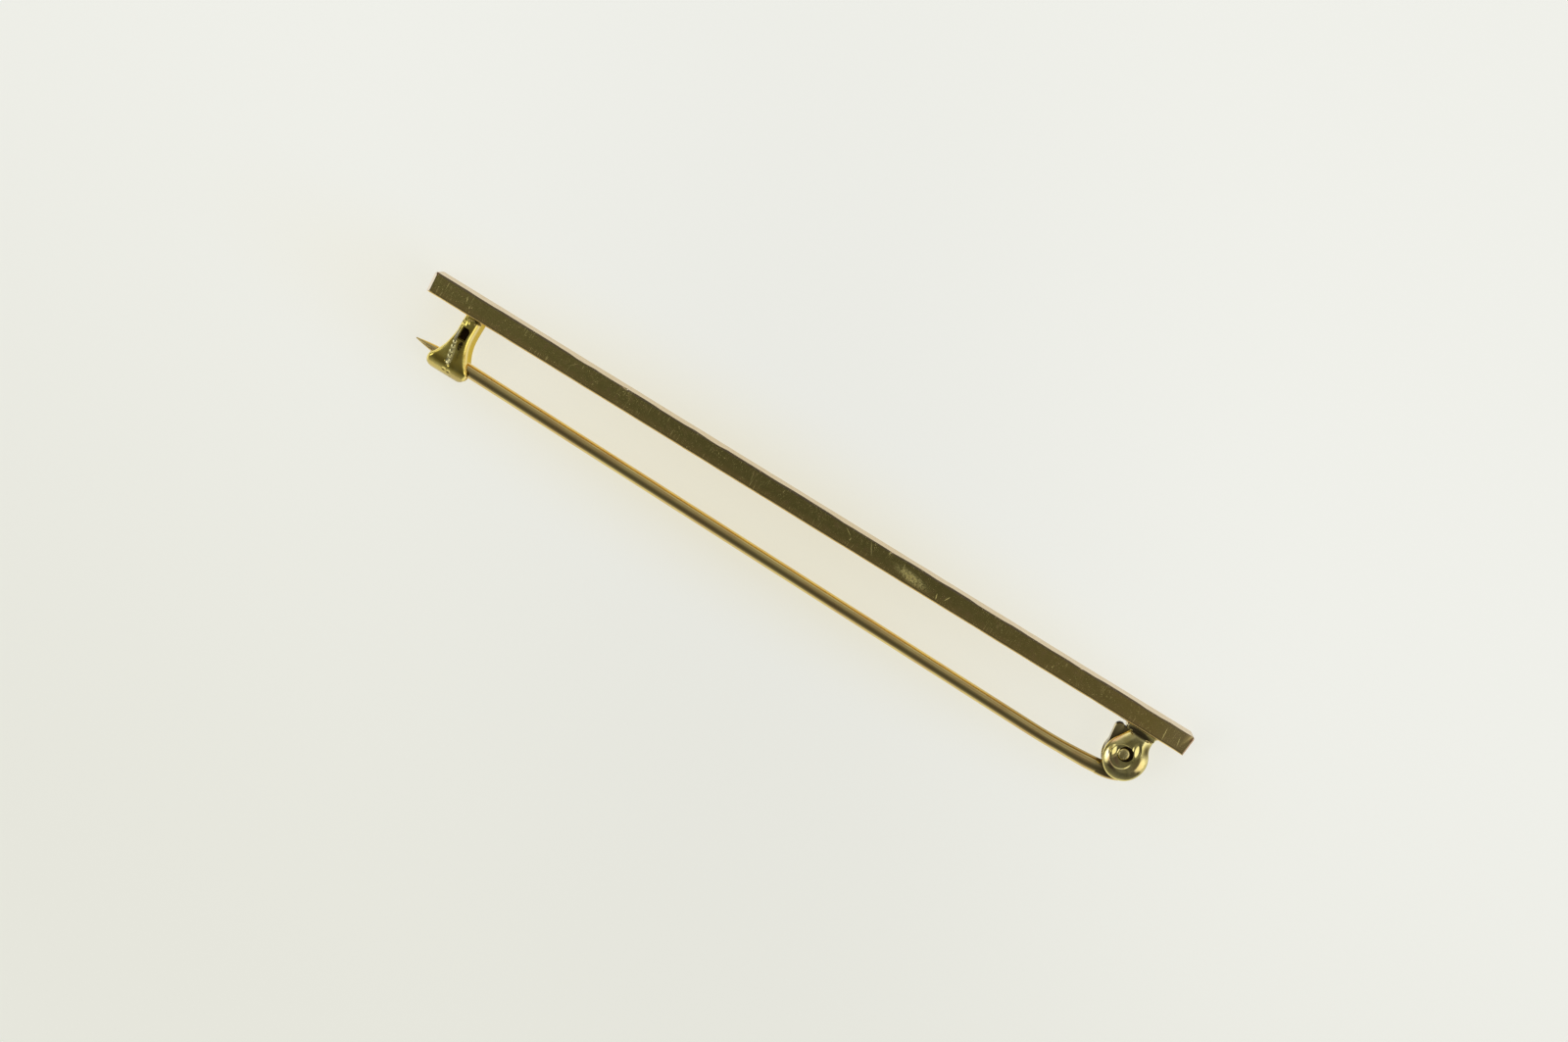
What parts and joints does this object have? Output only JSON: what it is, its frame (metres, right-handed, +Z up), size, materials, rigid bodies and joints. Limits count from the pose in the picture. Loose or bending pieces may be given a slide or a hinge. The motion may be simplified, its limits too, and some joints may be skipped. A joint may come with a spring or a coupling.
{
  "type": "bar brooch",
  "caption": "Slim plain gold bar brooch lying on its side, with a riveted hinged pin stem fastened in a flared hook catch soldered to the back.",
  "frame": {"origin": "middle of the narrow side face that the bar lies on", "axes": "+X along the bar towards the hinge, +Y towards the bar's front, the pin on the -Y side, +Z up from the surface"},
  "size_m": [0.056, 0.0055, 0.0024],
  "materials": {
    "bar_gold": "worn polished gold with fine scratches; catch yellower and hinge bracket paler",
    "rivet_gold": "filed and polished gold",
    "stem_gold": "drawn and polished gold"
  },
  "bodies": {
    "bar": {"bar_body": "bar_gold", "hinge_rivet": "rivet_gold"},
    "pin": {"pin_stem": "stem_gold"}
  },
  "joints": [
    {"name": "pin_swing", "type": "hinge", "parent": "bar", "child": "pin", "pos_m": [0.0248, -0.00259, 0.0011], "axis": [0, 0, 1], "range_deg": [0, 120]}
  ]
}
